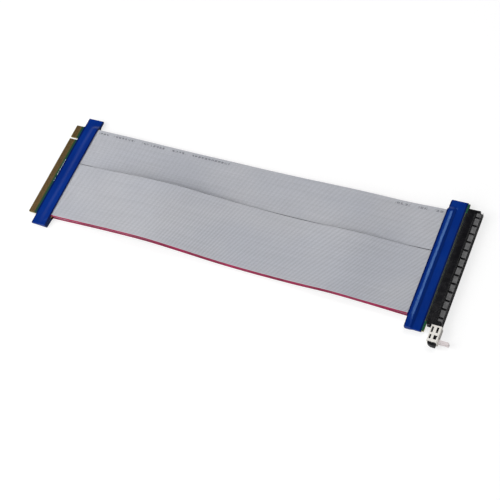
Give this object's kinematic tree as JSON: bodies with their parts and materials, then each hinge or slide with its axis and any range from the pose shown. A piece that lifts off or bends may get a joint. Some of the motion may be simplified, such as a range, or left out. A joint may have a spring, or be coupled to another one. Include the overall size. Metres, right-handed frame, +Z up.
{
  "type": "gpu riser cable",
  "caption": "Flat ribbon riser cable that joins a card-edge plug board to a long card socket, with blue shrink sleeves over its soldered ends and a white sliding card lock.",
  "frame": {"origin": "middle of the whole part's footprint, on the surface it lies on", "axes": "+X along the cable from the plug to the socket, +Y across it towards the short contact group, +Z up"},
  "size_m": [0.3466, 0.1106, 0.0093],
  "materials": {
    "board": "green solder mask on glass-fibre board",
    "film": "glossy blue shrink film",
    "jacket": "satin grey vinyl, ribbed over each wire",
    "housing": "moulded black nylon",
    "latch": "moulded white nylon"
  },
  "bodies": {
    "root": {"plug_board": "board", "plug_sleeve": "film", "upper_ribbon_34": "jacket", "upper_ribbon_50": "jacket", "lower_ribbon_34": "jacket", "lower_ribbon_50": "jacket", "socket_board": "board", "socket_sleeve": "film", "slot_housing": "housing"},
    "latch": {"card_latch": "latch"}
  },
  "joints": [
    {"name": "latch_slide", "type": "slide", "parent": "root", "child": "latch", "axis": [0, -1, 0], "range_m": [0, 0.0024]}
  ]
}
